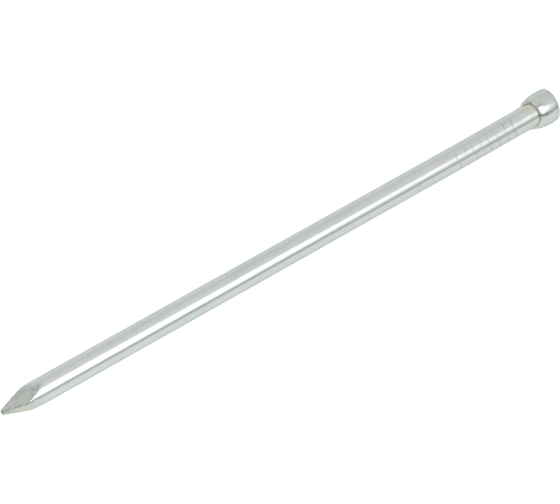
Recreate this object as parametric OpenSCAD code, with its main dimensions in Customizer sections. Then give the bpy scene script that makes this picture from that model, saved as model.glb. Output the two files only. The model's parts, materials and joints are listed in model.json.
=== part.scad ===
// Lost-head wire nail: one length of drawn steel wire, gripped, cold headed and pinched to a point.
// The nail lies along X. The centre of the struck face is the origin, +X points out of the head
// and the point is at -X. All lengths are in millimetres and all angles in degrees.

/* [Wire] */
// Overall length, from the struck face to the tip
nail_length = 80; // [50:1:130]
// Diameter of the drawn wire
wire_d = 3.1; // [2.8:0.1:3.3]

/* [Head] */
// Largest diameter of the head, across its barrel
head_d = 4.6; // [4.4:0.05:6]
// Height of the head along the nail
head_h = 3.85; // [3.2:0.05:5]
// Radius of the rounded rim around the struck face
rim_r = 0.35; // [0.1:0.05:0.6]
// Distance from the underside of the head to the start of its straight barrel
skirt_h = 2.45; // [1.4:0.05:2.6]
// Radius of the curved skirt below the barrel, seen from the side
skirt_r = 5.6; // [4.7:0.1:8]
// Slope of the seat under the head against the nail's axis
seat_slope = 35; // [25:1:50]

/* [Neck] */
// How much wider than the wire the neck is where it meets the head
neck_swell = 0.08; // [0.02:0.02:0.28]
// Length over which the wire swells to the neck
neck_h = 1.6; // [0.8:0.1:2.5]

/* [Grip marks] */
// Number of grip marks on each side of the wire
mark_count = 8; // [1:1:12]
// Distance from one grip mark to the next
mark_pitch = 1.24; // [0.8:0.02:2]
// Distance from the underside of the head to the first grip mark
mark_start = 2.95; // [1.8:0.05:4]
// Depth of a grip mark at its middle
mark_depth = 0.06; // [0.02:0.01:0.12]
// Radius of the rounded die ridge that presses a grip mark
mark_ridge_r = 0.15; // [0.12:0.01:0.3]
// Angle from the middle of a grip mark to the end where it fades out
mark_reach = 58; // [40:1:66]
// Direction in which the two grip dies close, turned from +Z towards -Y
die_turn = 49; // [0:1:90]

/* [Point] */
// Slope of each facet of the point against the nail's axis
facet_slope = 14; // [11:0.5:20]
// Direction that the first facet faces, turned from +Z towards -Y
facet_turn = 0; // [0:1:90]
// Radius of the blunt tip
tip_r = 0.44; // [0.3:0.02:0.5]
// Distance from the nail's axis to each facet, at the very tip
tip_flat = 0.21; // [0.15:0.01:0.28]

/* [Hidden] */
$fn = 96;

facets = 4;
wire_r = wire_d / 2;
head_r = head_d / 2;
neck_r = (wire_d + neck_swell) / 2;

// Stations along the nail, counted from the struck face towards the point
neck_z = -head_h - neck_h;
barrel_z = -head_h + skirt_h;

// A grip mark is cut by a ring that stands off centre, so that its depth fades to nothing
// at mark_reach on either side of the die's closing direction. The ring itself goes a little
// further, so that both of its ends are clear of the wire.
mark_shift = mark_depth / (1 - cos(mark_reach));
mark_ring_r = wire_r + mark_ridge_r - mark_depth + mark_shift;
ring_spare = 12;
ring_sweep = 2 * (mark_reach + ring_spare);

// The facets would meet in a sharp apex this far beyond the blunt tip.
apex_drop = tip_flat / tan(facet_slope);
apex_z = -nail_length - apex_drop;
facet_length = wire_r / tan(facet_slope);

// A cone at this half angle leads away from the tip's ball and clears the facets' corners.
tip_cone = 38;
tip_ball_z = -nail_length + tip_r;
tip_form_h = facet_length + apex_drop;
tip_edge_r = tip_r * cos(tip_cone);
tip_edge_z = tip_ball_z - tip_r * sin(tip_cone);
tip_form_r = tip_edge_r + tip_form_h * tan(tip_cone);

// Drawn wire, from the tip up through the neck and on into the head
module wire() {
    translate([0, 0, -nail_length])
        cylinder(r = wire_r, h = nail_length + barrel_z);
}

// Neck, which the upset metal swells slightly below the head. Its core runs on into the head.
module neck() {
    rotate_extrude()
        polygon([
            [0, neck_z],
            [wire_r, neck_z],
            [neck_r, -head_h],
            [neck_r, barrel_z],
            [0, barrel_z]
        ]);
}

// Half outline of the head: struck face, rounded rim, barrel, curved skirt and sloping seat
module head_outline() {
    translate([0, barrel_z])
        square([head_r, -barrel_z - rim_r]);
    translate([0, -rim_r])
        square([head_r - rim_r, rim_r]);
    translate([head_r - rim_r, -rim_r])
        circle(r = rim_r);
    intersection() {
        translate([head_r - skirt_r, barrel_z])
            circle(r = skirt_r);
        polygon([
            [0, -head_h],
            [neck_r, -head_h],
            [neck_r + skirt_h * tan(seat_slope), barrel_z],
            [0, barrel_z]
        ]);
    }
}

module head() {
    rotate_extrude()
        head_outline();
}

// Part of a ring that cuts the mark of one die ridge, centred on +X and fading out on both sides
module grip_ridge() {
    translate([-mark_shift, 0, 0])
        rotate([0, 0, -ring_sweep / 2])
            rotate_extrude(angle = ring_sweep)
                translate([mark_ring_r, 0])
                    circle(r = mark_ridge_r);
}

// The ridges of both dies, which close on the wire from opposite sides
module grip_dies() {
    for (side = [0, 180])
        rotate([0, 0, die_turn + side])
            for (i = [0 : mark_count - 1])
                translate([0, 0, -head_h - mark_start - i * mark_pitch])
                    grip_ridge();
}

// Solids that the pinch cutters take away, one for each facet of the point
module pinch_cutters() {
    for (i = [0 : facets - 1])
        rotate([0, 0, facet_turn + i * 360 / facets])
            translate([0, 0, apex_z])
                rotate([0, facet_slope, 0])
                    translate([0, -wire_d, -wire_d])
                        cube([2 * wire_d, 2 * wire_d, 2 * facet_length + wire_d]);
}

// Round form that blunts the very end of the point
module tip_form() {
    rotate_extrude()
        difference() {
            union() {
                translate([0, tip_ball_z])
                    circle(r = tip_r);
                polygon([
                    [0, tip_edge_z],
                    [tip_edge_r, tip_edge_z],
                    [tip_form_r, tip_edge_z + tip_form_h],
                    [tip_form_r, 0],
                    [0, 0]
                ]);
            }
            translate([-2 * tip_r, -nail_length - tip_r])
                square([2 * tip_r, 3 * tip_r]);
        }
}

// The finished nail: the wire and its formed head, gripped under the head and pinched to a point.
// It is built upright with the point down, then laid along X.
module nail() {
    color("silver")
        rotate([0, 90, 0]) {
            difference() {
                intersection() {
                    wire();
                    tip_form();
                }
                pinch_cutters();
                grip_dies();
            }
            neck();
            head();
        }
}

nail();
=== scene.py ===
import json
import math
import random

import bpy
import numpy as np
from mathutils import Matrix, Vector


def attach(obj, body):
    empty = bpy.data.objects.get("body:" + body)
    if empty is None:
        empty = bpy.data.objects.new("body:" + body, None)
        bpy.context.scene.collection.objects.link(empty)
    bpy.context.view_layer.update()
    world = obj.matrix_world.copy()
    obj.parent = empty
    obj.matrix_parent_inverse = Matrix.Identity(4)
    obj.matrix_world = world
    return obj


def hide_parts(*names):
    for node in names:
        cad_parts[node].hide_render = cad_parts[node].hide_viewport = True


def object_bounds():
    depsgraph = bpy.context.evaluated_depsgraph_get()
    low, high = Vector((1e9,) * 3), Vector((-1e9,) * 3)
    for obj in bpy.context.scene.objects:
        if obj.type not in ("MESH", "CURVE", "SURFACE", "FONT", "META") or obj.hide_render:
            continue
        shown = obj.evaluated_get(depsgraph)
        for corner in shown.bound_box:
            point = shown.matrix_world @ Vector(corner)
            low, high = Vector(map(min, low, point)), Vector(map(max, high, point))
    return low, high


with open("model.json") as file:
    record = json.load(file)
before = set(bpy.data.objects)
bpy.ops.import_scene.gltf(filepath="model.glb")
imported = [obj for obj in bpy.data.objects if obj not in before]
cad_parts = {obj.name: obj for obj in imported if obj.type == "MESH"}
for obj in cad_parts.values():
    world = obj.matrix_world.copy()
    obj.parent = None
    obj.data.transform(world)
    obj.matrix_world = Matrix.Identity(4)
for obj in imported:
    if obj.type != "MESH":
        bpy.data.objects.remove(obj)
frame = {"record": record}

cad_low, cad_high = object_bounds()


# ---------------------------------------------------------------------------------------------
# Camera: a long lens that looks down on the lying nail at sixty degrees, from beside its point.
# The nail rests on the rim of its head and on the far end of its shank, so the table under it
# leans by half a degree against the nail's own axis, and the camera is level with the table.
# ---------------------------------------------------------------------------------------------
nail_length = cad_high.x - cad_low.x
head_radius = cad_high.z
shank = [m for m in frame["record"]["mounts"] if m["name"] == "shank"][0]
wire_radius = shank["dims"]["r_mm"] / 1000
shank_end = shank["pos_m"][0] - shank["dims"]["length_mm"] / 1000
rim_inset = 0.0005
rim_rest = cad_high.x - rim_inset
table_lean = math.atan((head_radius - wire_radius) / (rim_rest - shank_end))
table_turn = Matrix.Rotation(table_lean, 3, "Y")

looking_down = math.radians(60.0)
looking_along = math.radians(57.39)
camera_distance = 2.5653 * nail_length
aim_along, aim_across = 0.48566, 0.354
aim = Vector((cad_low.x + aim_along * nail_length, aim_across * wire_radius, 0.0))
forward = table_turn @ Vector((
    math.cos(looking_down) * math.cos(looking_along),
    math.cos(looking_down) * math.sin(looking_along),
    -math.sin(looking_down),
))
rightward = forward.cross(table_turn @ Vector((0, 0, 1))).normalized()
upward = rightward.cross(forward)

camera_lens = bpy.data.cameras.new("camera")
camera_lens.sensor_width = 36.0
camera_lens.lens = 107.8
camera_lens.clip_start = 0.01
camera_lens.clip_end = 10.0
camera = bpy.data.objects.new("camera", camera_lens)
bpy.context.scene.collection.objects.link(camera)
facing = Matrix((rightward, upward, -forward)).transposed()
camera.matrix_world = Matrix.Translation(aim - forward * camera_distance) @ facing.to_4x4()
bpy.context.scene.camera = camera
bpy.context.scene.view_settings.view_transform = "Standard"


# ---------------------------------------------------------------------------------------------
# The nail: one length of drawn low-carbon steel wire, formed cold and then zinc plated. Two grip
# dies hold it, a punch upsets the barrel-shaped head over them, and pinch cutters shear the other
# end to four facets. Sizes here are in millimetres.
# ---------------------------------------------------------------------------------------------
MM = 0.001
wire_r = wire_radius / MM
long_mm = nail_length / MM


def ease(t):
    t = np.clip(t, 0.0, 1.0)
    return t * t * (3.0 - 2.0 * t)


def blend_low(a, b, width):
    mix = np.clip(0.5 + 0.5 * (b - a) / width, 0.0, 1.0)
    return b + (a - b) * mix - width * mix * (1.0 - mix)


def turned(angle, degrees):
    return (angle - math.radians(degrees) + math.pi) % (2.0 * math.pi) - math.pi


def hump(distance, width, power=2.0):
    return np.exp(-np.abs(distance / width) ** power)


def unevenness(along, angle, seed, reach, waves=14):
    chance = random.Random(seed)
    total = np.zeros_like(along * angle)
    for _ in range(waves):
        step = chance.uniform(0.5, 1.6) * 2.0 * math.pi / reach
        turns = round(chance.uniform(-1.0, 1.0) * 2.0 * math.pi * wire_r / reach)
        total += np.sin(step * along + turns * angle + chance.uniform(0.0, 2.0 * math.pi))
    return total / math.sqrt(waves)


# The wire swells a little into the neck. Grip dies bend it a hair over its last 18 mm.
neck_r = 1.59
neck_from, neck_to = 5.6, 4.0
bend_from, bend_to, bend_by = 18.4, 2.0, 0.115
bend_towards = math.radians(25.8)


def wire_form(down):
    return wire_r + (neck_r - wire_r) * ease((neck_from - down) / (neck_from - neck_to))


# The head is a barrel, widest 1.4 mm below its struck face. Its underside is square against the
# dies and runs out down the neck in a short fin where the two dies part. For each fin: where it
# stands and half its width in degrees, how squarely it ends, how far down it runs and its slope.
barrel_r, barrel_at = 2.262, 1.4
skirt_curve, crown_curve = 0.083, 0.05
lip_from, lip_curve = 2.30, 0.22
rim_r = 0.34
seat_at, seat_steep = 3.03, 4.5
sharp_edge, round_edge = 0.09, 0.12
thin_fillet, fin_fillet = 0.02, 0.14
head_end = 4.9
fins = [(29.0, 17.0, 3.0, 4.0, 0.85), (213.0, 28.0, 2.0, 4.13, 0.85)]


def fin_reach(angle):
    return [hump(turned(angle, at), math.radians(wide), shape) for at, wide, shape, _, _ in fins]


def seat_start(reaches):
    start = seat_at
    for reach, (_, _, _, fin_to, _) in zip(reaches, fins):
        start = start + reach * (fin_to - seat_at)
    return start


def head_form(down, angle):
    away = down - barrel_at
    barrel = barrel_r - np.where(away > 0.0, skirt_curve, crown_curve) * away ** 2
    drop = np.clip(rim_r - down, 0.0, rim_r)
    barrel = barrel - (rim_r - np.sqrt(rim_r ** 2 - drop ** 2))
    reaches = fin_reach(angle)
    steep = seat_steep
    for reach, (_, _, _, _, fin_steep) in zip(reaches, fins):
        steep = steep + reach * (fin_steep - seat_steep)
    seat = neck_r + np.maximum(seat_start(reaches) - down, 0.0) * steep
    clear = np.clip(1.0 - 1.5 * sum(reaches), 0.0, 1.0)
    barrel = barrel - clear * lip_curve * np.maximum(down - lip_from, 0.0) ** 2
    head = blend_low(seat, barrel, sharp_edge + round_edge * clear)
    wire = wire_form(down)
    fillet = thin_fillet + fin_fillet * reaches[1]
    return np.where(down < head_end, -blend_low(-head, -wire, fillet), wire)


# Each grip die bites eight ridges into its half of the wire. No two bite alike: for each one
# the depth along its arc is given at thirteen places, from the upper seam to the lower one.
die_turn = 139.0
mark_width, mark_depth, mark_reach = 0.115, 0.015, math.radians(66.0)
mark_fade, mark_bow, mark_bow_at = 0.14, 0.20, 0.25
bites = [
    (6.84, (0.35, 0.45, 0.95, 0.45, 0.80, 0.35, 0.10, 0.90, 0.65, 0.45, 0.35, 0.25, 0.1)),
    (8.05, (0.40, 0.45, 0.85, 0.50, 0.35, 0.35, 0.15, 0.45, 0.55, 0.55, 0.45, 0.30, 0.1)),
    (9.43, (0.10, 0.10, 0.15, 0.25, 0.40, 0.20, 0.15, 0.35, 0.55, 0.60, 0.35, 0.15, 0.1)),
    (10.70, (0.10, 0.25, 0.45, 0.30, 0.80, 0.45, 0.15, 0.55, 0.65, 0.70, 0.30, 0.15, 0.1)),
    (11.86, (0.05, 0.05, 0.15, 0.30, 0.65, 0.35, 0.10, 0.45, 0.35, 0.30, 0.20, 0.10, 0.1)),
    (13.08, (0.10, 0.20, 0.25, 0.30, 0.40, 0.40, 0.20, 0.80, 0.30, 0.20, 0.15, 0.10, 0.1)),
    (14.20, (0.10, 0.20, 0.35, 0.45, 0.25, 0.05, 0.05, 0.15, 0.25, 0.25, 0.15, 0.10, 0.1)),
    (15.52, (0.10, 0.25, 0.45, 0.60, 0.80, 0.45, 0.15, 0.55, 0.45, 0.40, 0.40, 0.20, 0.1)),
]
far_side = random.Random(31)
far_bites = [
    (at + far_side.uniform(-0.06, 0.06), [far_side.uniform(0.1, 0.9) for _ in arc])
    for at, arc in bites
]


def grip_marks(down, angle):
    cut = np.zeros_like(down * angle)
    for die, rows in ((die_turn, bites), (die_turn + 180.0, far_bites)):
        round_it = turned(angle, die)
        fade = ease((1.0 - np.abs(round_it) / mark_reach) / mark_fade)
        for at, arc in rows:
            bite = np.interp(round_it / mark_reach, np.linspace(-1.0, 1.0, len(arc)), arc)
            line = at - mark_bow * (round_it + mark_bow_at) ** 2
            cut = np.maximum(cut, fade * bite * hump(down - line, mark_width))
    return cut


# The pinch cutters leave four slightly bulging facets that meet in soft ridges at a blunt tip.
facet_count = 4
facet_slope = math.radians(14.0)
facet_at_tip, facet_bulge, facet_run = 0.21, 0.06, 5.4
facet_waver = 0.005
ridge_soft, ridge_wear = 0.02, 0.09
tip_r, tip_flare = 0.44, 1.2
glancing, out_of_reach = 0.15, 9.0


def facet_height(left):
    bulge = facet_bulge * np.sin(np.clip(left / facet_run, 0, 1) * math.pi)
    return facet_at_tip + left * math.tan(facet_slope) + bulge


def point_form(down, angle):
    left = long_mm - down
    waver = facet_waver * unevenness(down, angle, 5, 1.1) * ease(left / 0.6)
    height = facet_height(left) + waver
    form = None
    for side in range(facet_count):
        lean = np.cos(angle - side * 2.0 * math.pi / facet_count)
        reach = np.where(lean > glancing, height / np.maximum(lean, glancing), out_of_reach)
        form = reach if form is None else blend_low(form, reach, ridge_soft + ridge_wear * height)
    drop = np.clip(tip_r - left, 0.0, tip_r)
    blunt = np.sqrt(tip_r ** 2 - drop ** 2) + tip_flare * np.maximum(left - tip_r, 0.0)
    return blend_low(form, blunt, 0.05)


# The surface is laid as rings along the nail, close together where it is formed and far apart on
# the plain shank. 136 rows round it put a row on each ridge of the point. For each stretch: how
# far down it goes and how far apart its rings are.
rows_round = 136
row_angles = np.linspace(0.0, 2.0 * math.pi, rows_round, endpoint=False)
ring_places = [rim_r * (1.0 - math.cos(step * math.pi / 18.0)) for step in range(9)]
stretches = ((2.6, 0.08), (4.4, 0.026), (6.3, 0.1), (16.0, 0.045), (73.4, 0.45), (79.2, 0.05))
for to_place, apart in stretches:
    count = round((to_place - ring_places[-1]) / apart)
    ring_places += list(np.linspace(ring_places[-1], to_place, count + 1))[1:]
ring_places += [long_mm - 0.8 * math.cos(step * math.pi / 46.0) for step in range(1, 24)]
down, angle = np.meshgrid(ring_places, row_angles, indexing="ij")

wire_waver, head_waver = 0.0022, 0.006
point_from, point_blend = 70.0, 0.06
marks = grip_marks(down, angle)
head_only = ease((3.0 - down) / 0.6) * ease(down / 0.3)
surface = head_form(down, angle)
surface = surface + wire_waver * unevenness(down, angle, 11, 7.0)
surface = surface + head_waver * unevenness(down, angle, 12, 1.3) * head_only
surface = surface - mark_depth * marks
pointed = blend_low(surface, point_form(down, angle), point_blend)
surface = np.where(down > point_from, pointed, surface)
surface[-1] = 0.0

# The dies leave the head a little off the wire's axis and its struck face a little askew.
face_slant = 0.03
bend = bend_by * np.clip((bend_from - down) / (bend_from - bend_to), 0.0, 1.1) ** 2.2
across = surface * np.cos(angle) + bend * math.cos(bend_towards)
upwards = surface * np.sin(angle) + bend * math.sin(bend_towards)
towards_bend = surface * np.cos(angle - bend_towards)
slant = face_slant * (barrel_r - towards_bend) * ease((3.0 - down) / 3.0)
lengthwise = -(down + slant)

# The struck face is nearly flat, with the faint dishing and scars of the punch.
face_dish, face_scar = 0.03, 0.012
face_steps = np.linspace(0.0, 1.0, 22)[1:-1]
hub = np.array([lengthwise[0].mean(), across[0].mean(), upwards[0].mean()])
rings = []
for step in face_steps:
    rough = unevenness(step * 2.0 + np.zeros(rows_round), row_angles, 17, 1.2)
    scar = face_scar * rough * math.sin(step * math.pi)
    dish = face_dish * (1.0 - step ** 2)
    rings.append(np.stack([
        hub[0] + (lengthwise[0] - hub[0]) * step - dish - np.abs(scar),
        hub[1] + (across[0] - hub[1]) * step,
        hub[2] + (upwards[0] - hub[2]) * step,
    ], axis=1))
for ring in range(len(ring_places) - 1):
    rings.append(np.stack([lengthwise[ring], across[ring], upwards[ring]], axis=1))
hub[0] -= face_dish
spots = np.concatenate(rings + [np.array([hub, [-long_mm, 0.0, 0.0]])])

# The punch and the dies hold the head to its full size, so nothing stands past it.
spots[:, 0] = np.clip(spots[:, 0], -long_mm, 0.0)
spare = 0.08
for side, widest in ((1, cad_high.y / MM), (2, cad_high.z / MM)):
    over = np.abs(spots[:, side]) - (widest - spare)
    held = np.sign(spots[:, side]) * (widest - spare + spare * np.tanh(over / spare))
    spots[:, side] = np.where(over > 0, held, spots[:, side])


def spot_on(ring, row):
    return ring * rows_round + row % rows_round


faces = [
    (spot_on(ring, row), spot_on(ring + 1, row), spot_on(ring + 1, row + 1), spot_on(ring, row + 1))
    for ring in range(len(rings) - 1)
    for row in range(rows_round)
]
hub_spot, tip_spot, last_ring = len(spots) - 2, len(spots) - 1, len(rings) - 1
for row in range(rows_round):
    faces.append((hub_spot, spot_on(0, row), spot_on(0, row + 1)))
    faces.append((tip_spot, spot_on(last_ring, row + 1), spot_on(last_ring, row)))

nail_mesh = bpy.data.meshes.new("nail_body")
nail_mesh.from_pydata((spots * MM).tolist(), [], faces)
nail_mesh.shade_smooth()
nail_mesh.update()
nail = bpy.data.objects.new("nail_body", nail_mesh)
bpy.context.scene.collection.objects.link(nail)


# Grime and painted shade darken the grip marks, painted shade darkens the crease under the head and
# the edges of the facets, and the plating is thin and yellow on the neck and on the sheared facets.
def paint(name, values):
    whole = np.zeros(len(spots))
    start = len(face_steps) * rows_round
    part = values[:-1].ravel()
    whole[start:start + part.size] = part
    layer = nail_mesh.attributes.new(name, "FLOAT", "POINT")
    layer.data.foreach_set("value", np.clip(whole, 0.0, 1.0))


def stroke(places, width):
    nearest = np.full(down.shape, 9.0)
    for (from_down, from_turn), (to_down, to_turn) in zip(places, places[1:]):
        run, turn = to_down - from_down, math.radians(to_turn - from_turn) * barrel_r
        x, y = down - from_down, turned(angle, from_turn) * barrel_r
        part = np.clip((x * run + y * turn) / (run ** 2 + turn ** 2), 0.0, 1.0)
        nearest = np.minimum(nearest, np.hypot(x - part * run, y - part * turn))
    return hump(nearest, width)


def strokes(*given):
    return sum(amount * stroke(places, width) for amount, width, places in given)


def around(middle, half_width, soft):
    return ease((math.radians(half_width) - np.abs(turned(angle, middle))) / soft)


# Painted shade in the crease and under the lip, painted shade and a painted dark reflection that
# shape the head's highlight, and grime rubbed on the head. For each stroke: how dark, how wide, and
# where it runs, as millimetres down from the struck face and degrees round the wire.
reaches = fin_reach(angle)
start = seat_start(reaches)
# Painted shade along the crease under the head, fainter where the fins run out.
crease = hump(down - start - 0.02, 0.07) * (1.0 - 0.5 * reaches[0] - 0.7 * reaches[1])
head_shade_and_grime = strokes(
    # The next three strokes paint the dark reflection of the grey card running under the head's
    # highlight.
    (0.45, 0.15, [(2.95, 134.0), (2.79, 135.0), (2.3, 139.0), (2.1, 140.0)]),
    (0.22, 0.12, [(2.1, 140.0), (1.58, 141.5), (1.05, 143.0)]),
    (0.25, 0.10, [(0.82, 139.0), (0.45, 131.0), (0.28, 124.0)]),
    (0.30, 0.08, [(0.37, 142.0), (0.62, 158.0)]),
    (0.13, 0.13, [(2.8, 96.0), (2.46, 100.0), (2.05, 103.0), (1.81, 108.0)]),
    (0.12, 0.24, [(2.6, 92.0), (2.1, 95.0)]),
    # Painted shade under the top of the lip.
    (0.25, 0.14, [(3.75, 44.0), (3.12, 47.0), (3.0, 58.0), (2.97, 72.0)]),
    # Painted shade that rounds the top corner of the head's highlight.
    (0.30, 0.12, [(2.9, 100.0), (2.65, 102.0), (2.35, 103.0)]),
    # A painted dark spot of shade at the foot of the lip, by the crease.
    (0.40, 0.15, [(2.92, 137.0), (2.88, 139.0)]),
    (0.05, 0.20, [(0.5, 76.0), (0.26, 95.0)]),
)
on_head = ease((3.0 - down) / 0.3)
rubbing = 22.0 * (angle + 0.22 * down) + 1.6 * unevenness(down, angle, 35, 1.8)
rubbed = 0.5 + 0.5 * np.sin(rubbing)
head_shade_and_grime += (0.02 + 0.06 * rubbed) * on_head * around(72.0, 48.0, 0.5)

# Darker along the ridges of the point and at its tip.
left = long_mm - down
patchy = 0.5 + 0.5 * unevenness(down, angle, 21, 0.9)
upper_ridge = hump(turned(angle, 45.0), 0.09)
upper_ridge = upper_ridge * ease((left + 0.2) / 0.3) * ease((4.6 - left) / 0.8)
front_ridge = strokes((1.0, 0.26, [
    (79.45, 125.0), (78.9, 131.0), (78.27, 134.5), (77.5, 139.0), (77.0, 141.5), (76.2, 142.0),
]))
front_ridge = front_ridge * np.clip(1.5 * patchy, 0.1, 1.1)
front_ridge += strokes((0.35, 0.24, [(77.4, 139.5), (76.5, 141.5)]))
other_ridges = hump(turned(angle, 225.0), 0.07) + hump(turned(angle, 315.0), 0.07)
other_ridges = other_ridges * ease((4.5 - left) / 0.6) * np.clip(patchy, 0.2, 1.0)
darker_tip = 0.42 * hump(left - 0.16, 0.15) + strokes((0.30, 0.14, [(79.42, 112.0), (79.36, 122.0)]))
darker_ridges = 0.40 * upper_ridge + 0.50 * front_ridge + 0.45 * other_ridges
# The grip marks are darkened by grime and by painted shade in their grooves.
paint("marks", 0.50 * marks)
# Painted shade and reflection on the crease and head, grime rubbed on the head, darker ridges and
# tip.
paint("shade_and_grime", 0.22 * crease + head_shade_and_grime + darker_ridges + darker_tip)

# Painted shade along the curved edges where the facets run into the wire, and one dark streak on
# the wire below the head.
edge_shade_and_streak = strokes(
    (0.45, 0.45, [(77.5, 66.0), (76.6, 66.0), (76.0, 72.0), (75.6, 82.0)]),
    (0.55, 0.38, [(76.3, 128.0), (75.9, 117.0), (75.5, 107.0), (75.1, 98.0), (74.75, 90.0)]),
    (0.40, 0.24, [(75.75, 98.0), (75.4, 91.0)]),
    (0.25, 0.16, [(75.1, 91.0), (74.75, 86.0)]),
    (0.30, 0.22, [(7.0, 53.0), (7.5, 49.0)]),
)
paint("edge_shade_and_streak", edge_shade_and_streak * np.clip(0.85 + 0.3 * unevenness(down, angle, 27, 0.6), 0.0, 1.0))

# Bare sheared steel on the facets, and the thin yellow plating.
facet_turn = 2.0 * math.pi / facet_count
nearest_facet = np.round(angle / facet_turn) * facet_turn
facet_here = facet_height(left) / np.maximum(np.cos(angle - nearest_facet), 0.3)
past_lower = turned(angle, 150.0)
lower_facet = ease((past_lower + 0.3) / 0.3) * ease((math.radians(80.0) - past_lower) / 0.3)
sheared = ease((wire_r - facet_here) / 0.5 + 0.2) * (left < 7.0)
paint("sheared", sheared * (1.0 - 0.7 * lower_facet * ease((left - 0.9) / 1.2)))
neck_only = ease((5.2 - down) / 2.0) * ease((down - start + 0.02) / 0.05)
yellow_facet = lower_facet * ease((4.3 - left) / 2.2) * ease((left - 0.8) / 0.8)
yellow_facet = yellow_facet * ease((wire_r - facet_here) / 0.3)
yellow = 0.12 * ease((21.0 - down) / 10.0) + 0.75 * neck_only + 0.9 * yellow_facet
yellow += 0.10 * on_head * around(80.0, 60.0, 0.4)
yellow += strokes((0.3, 0.3, [(0.5, 76.0), (0.26, 95.0)]))
paint("yellow", yellow)

# Bright zinc over drawn steel: fine lines along the wire, a faint mottle and soft tints.
zinc = bpy.data.materials.new("bright_zinc_plate")
zinc.use_nodes = True
nodes, links = zinc.node_tree.nodes, zinc.node_tree.links
plate = nodes["Principled BSDF"]
plate.inputs["Metallic"].default_value = 1.0
plate.inputs["Specular Tint"].default_value = (0.64, 0.64, 0.64, 1.0)
where = nodes.new("ShaderNodeTexCoord")


def noise(name, stretch, detail, roughness=0.5):
    mapping = nodes.new("ShaderNodeMapping")
    mapping.inputs["Scale"].default_value = stretch
    links.new(where.outputs["Object"], mapping.inputs["Vector"])
    made = nodes.new("ShaderNodeTexNoise")
    made.name = name
    made.inputs["Scale"].default_value = 1.0
    made.inputs["Detail"].default_value = detail
    made.inputs["Roughness"].default_value = roughness
    links.new(mapping.outputs["Vector"], made.inputs["Vector"])
    return made.outputs["Fac"]


def tinted(under, colour, amount, name):
    mix = nodes.new("ShaderNodeMix")
    mix.name = name
    mix.data_type = "RGBA"
    mix.inputs["B"].default_value = (*colour, 1.0)
    links.new(under, mix.inputs["A"])
    links.new(amount, mix.inputs["Factor"])
    return mix.outputs["Result"]


def spread(value, low, high, to_low, to_high):
    remap = nodes.new("ShaderNodeMapRange")
    ends = (("From Min", low), ("From Max", high), ("To Min", to_low), ("To Max", to_high))
    for socket, number in ends:
        remap.inputs[socket].default_value = number
    links.new(value, remap.inputs["Value"])
    return remap.outputs["Result"]


def layer(name):
    made = nodes.new("ShaderNodeAttribute")
    made.attribute_name = name
    return made.outputs["Fac"]


def worked(tree, operation, a, b):
    made = tree.nodes.new("ShaderNodeMath")
    made.operation = operation
    tree.links.new(a, made.inputs[0])
    tree.links.new(b, made.inputs[1])
    return made.outputs[0]


def ramp(tree, stops, run="LINEAR"):
    made = tree.nodes.new("ShaderNodeValToRGB")
    made.color_ramp.interpolation = run
    while len(made.color_ramp.elements) < len(stops):
        made.color_ramp.elements.new(0.5)
    for element, (place, colour) in zip(made.color_ramp.elements, stops):
        element.position = place
        element.color = (*colour, 1.0)
    return made


def bump(height, distance):
    made = nodes.new("ShaderNodeBump")
    made.inputs["Strength"].default_value = 1.0
    made.inputs["Distance"].default_value = distance
    links.new(height, made.inputs["Height"])
    return made


drawn_lines = noise("drawn_lines", (70.0, 5200.0, 5200.0), 3.0)
mottle = noise("mottle", (900.0, 1500.0, 1500.0), 4.0, 0.6)
clouds = noise("clouds", (140.0, 420.0, 420.0), 2.0)
scuffs = noise("scuffs", (2400.0, 2400.0, 2400.0), 3.0, 0.65)

tint = ramp(zinc.node_tree, [(0.32, (0.585, 0.642, 0.632)), (0.68, (0.632, 0.650, 0.648))])
links.new(clouds, tint.inputs["Fac"])
fleck = spread(mottle, 0.52, 0.75, 0.0, 0.8)
bare = worked(zinc.node_tree, "MULTIPLY", layer("sheared"), spread(scuffs, 0.35, 0.62, 0.9, 0.35))
colour = tinted(tint.outputs["Color"], (0.54, 0.575, 0.57), fleck, "dull_flecks")
colour = tinted(colour, (0.645, 0.65, 0.55), layer("yellow"), "yellow_neck")
colour = tinted(colour, (0.47, 0.475, 0.44), bare, "sheared_steel")
# Painted shade at the edges of the facets, and one dark streak.
colour = tinted(colour, (0.30, 0.335, 0.33), layer("edge_shade_and_streak"), "edge_shade_and_streak_tint")
# Grime and painted shade in the grip marks.
colour = tinted(colour, (0.20, 0.22, 0.20), layer("marks"), "mark_grime_and_shade")
# Painted shade, a painted dark reflection and grime on the head and crease; darker ridges and tip.
colour = tinted(colour, (0.10, 0.115, 0.10), layer("shade_and_grime"), "shade_and_grime_tint")
links.new(colour, plate.inputs["Base Color"])

plate_dullness = spread(mottle, 0.3, 0.7, 0.20, 0.28)
sheared_dullness = spread(layer("sheared"), 0.0, 1.0, 0.0, 0.12)
dullness = worked(zinc.node_tree, "ADD", plate_dullness, sheared_dullness)
links.new(dullness, plate.inputs["Roughness"])

fine = bump(drawn_lines, 0.0000012)
coarse = bump(mottle, 0.0000035)
links.new(fine.outputs["Normal"], coarse.inputs["Normal"])
links.new(coarse.outputs["Normal"], plate.inputs["Normal"])
nail_mesh.materials.append(zinc)

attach(nail, "root")
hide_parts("nail")


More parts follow.
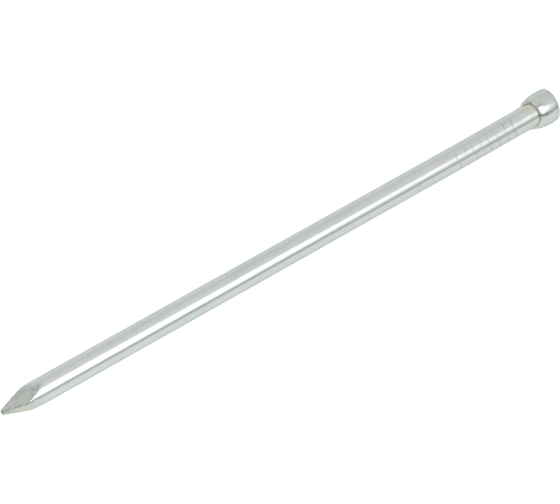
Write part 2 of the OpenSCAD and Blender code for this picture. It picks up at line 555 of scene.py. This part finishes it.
# ---------------------------------------------------------------------------------------------
# Table: a plain sheet of white opal plastic over a light box. It glows evenly under the nail, so
# that the nail casts no shadow, and a little brighter further out. The nail only lies on it, on
# the rim of its head and the far end of its shank.
# ---------------------------------------------------------------------------------------------
def glowing(name, one_sided=False):
    made = bpy.data.materials.new(name)
    made.use_nodes = True
    tree = made.node_tree
    tree.nodes.clear()
    out = tree.nodes.new("ShaderNodeOutputMaterial")
    glow = tree.nodes.new("ShaderNodeEmission")
    if one_sided:
        side = tree.nodes.new("ShaderNodeNewGeometry")
        clear = tree.nodes.new("ShaderNodeBsdfTransparent")
        choose = tree.nodes.new("ShaderNodeMixShader")
        tree.links.new(side.outputs["Backfacing"], choose.inputs[0])
        tree.links.new(glow.outputs[0], choose.inputs[1])
        tree.links.new(clear.outputs[0], choose.inputs[2])
        tree.links.new(choose.outputs[0], out.inputs[0])
    else:
        tree.links.new(glow.outputs[0], out.inputs[0])
    return made, tree, glow


def panel(name, corners, material):
    mesh = bpy.data.meshes.new(name)
    mesh.from_pydata([tuple(corner) for corner in corners], [], [(0, 1, 2, 3)])
    mesh.materials.append(material)
    made = bpy.data.objects.new(name, mesh)
    bpy.context.scene.collection.objects.link(made)
    return made


table_white, tree, glow = glowing("white_table", one_sided=True)
spot = tree.nodes.new("ShaderNodeTexCoord")
far = tree.nodes.new("ShaderNodeVectorMath")
far.operation = "LENGTH"
fall = tree.nodes.new("ShaderNodeMapRange")
fall.interpolation_type = "SMOOTHSTEP"
fall.inputs["From Min"].default_value = 0.0
fall.inputs["From Max"].default_value = 0.25
edge = tree.nodes.new("ShaderNodeMix")
edge.data_type = "RGBA"
edge.inputs["A"].default_value = (1.0, 1.027, 1.022, 1.0)
edge.inputs["B"].default_value = (1.205, 1.285, 1.26, 1.0)
tree.links.new(spot.outputs["Object"], far.inputs[0])
tree.links.new(far.outputs["Value"], fall.inputs["Value"])
tree.links.new(fall.outputs["Result"], edge.inputs["Factor"])
tree.links.new(edge.outputs["Result"], glow.inputs["Color"])
rest = Vector((rim_rest, 0.0, -head_radius))
table_half = 3.0
panel("table_top", [
    rest + table_turn @ Vector((x * table_half, y * table_half, 0.0))
    for x, y in ((-1, -1), (1, -1), (1, 1), (-1, 1))
], table_white)


# ---------------------------------------------------------------------------------------------
# Light: one large soft box of white cloth hangs over the near side of the table in a pale room.
# A grey card stands low down behind it and draws the thin dark line along the wire, and another
# stands past the head.
# ---------------------------------------------------------------------------------------------
def greys(stops):
    return [(place, (value, value, value)) for place, value in stops]


box_white, tree, glow = glowing("soft_box_cloth")
spot = tree.nodes.new("ShaderNodeTexCoord")
parts = tree.nodes.new("ShaderNodeSeparateXYZ")
tree.links.new(spot.outputs["UV"], parts.inputs[0])
width = ramp(tree, greys([(0.0, 0.0), (0.30, 1.0), (0.78, 1.0), (1.0, 0.0)]), "EASE")
along = ramp(tree, greys([
    (0.0, 1.0), (0.48, 1.0), (0.58, 0.56), (0.66, 0.42), (0.75, 0.36), (0.85, 0.2), (1.0, 0.0),
]))
tree.links.new(parts.outputs["X"], along.inputs["Fac"])
tree.links.new(parts.outputs["Y"], width.inputs["Fac"])
both = worked(tree, "MULTIPLY", along.outputs["Color"], width.outputs["Color"])
power = tree.nodes.new("ShaderNodeMapRange")
power.inputs["To Min"].default_value = 0.88
power.inputs["To Max"].default_value = 2.3
tree.links.new(both, power.inputs["Value"])
tree.links.new(power.outputs["Result"], glow.inputs["Strength"])
box_height = 0.6
box_from, box_to = -0.30, 0.60
near_y, near_turn = -0.105, -0.48
far_y, far_turn = -1.10, 0.64
soft_box = panel("soft_box", [
    (box_from, near_y + near_turn * box_from, box_height),
    (box_to, near_y + near_turn * box_to, box_height),
    (box_to, far_y + far_turn * box_to, box_height),
    (box_from, far_y + far_turn * box_from, box_height),
], box_white)
soft_box_uv = soft_box.data.uv_layers.new(name="cloth")
for corner, uv in enumerate(((0, 0), (1, 0), (1, 1), (0, 1))):
    soft_box_uv.data[corner].uv = uv
soft_box.visible_camera = False

# The grey cards glow evenly with a grey light of their own and are seen only in reflections.
card_grey, tree, glow = glowing("glowing_grey_card")
glow.inputs["Color"].default_value = (0.40, 0.42, 0.42, 1.0)
card_from, card_to, card_y = -1.5, 1.2, -1.0
card_low, card_top = 0.21, 0.45
card = panel("grey_card", [
    (card_from, card_y, card_low),
    (card_to, card_y, card_low),
    (card_to, card_y, card_top),
    (card_from, card_y, card_top),
], card_grey)
card.visible_camera = False
end_card_low, end_card_top, end_card_y = 0.02, 0.60, 1.2
end_card = panel("grey_end_card", [
    (card_to, card_y, end_card_low),
    (card_to, end_card_y, end_card_low),
    (card_to, end_card_y, end_card_top),
    (card_to, card_y, end_card_top),
], card_grey)
end_card.visible_camera = False

room = bpy.data.worlds.new("pale_room")
bpy.context.scene.world = room
room.use_nodes = True
tree = room.node_tree
sky = tree.nodes.new("ShaderNodeTexCoord")
parts = tree.nodes.new("ShaderNodeSeparateXYZ")
wall_tones = ((0.0, 0.92), (0.17, 0.92), (0.45, 0.86), (0.64, 0.80), (0.87, 0.90), (1.0, 0.93))
walls = ramp(tree, [(height, (tone, tone, 0.99 * tone)) for height, tone in wall_tones])
tree.links.new(sky.outputs["Generated"], parts.inputs[0])
tree.links.new(parts.outputs["Z"], walls.inputs["Fac"])
tree.links.new(walls.outputs["Color"], tree.nodes["Background"].inputs["Color"])
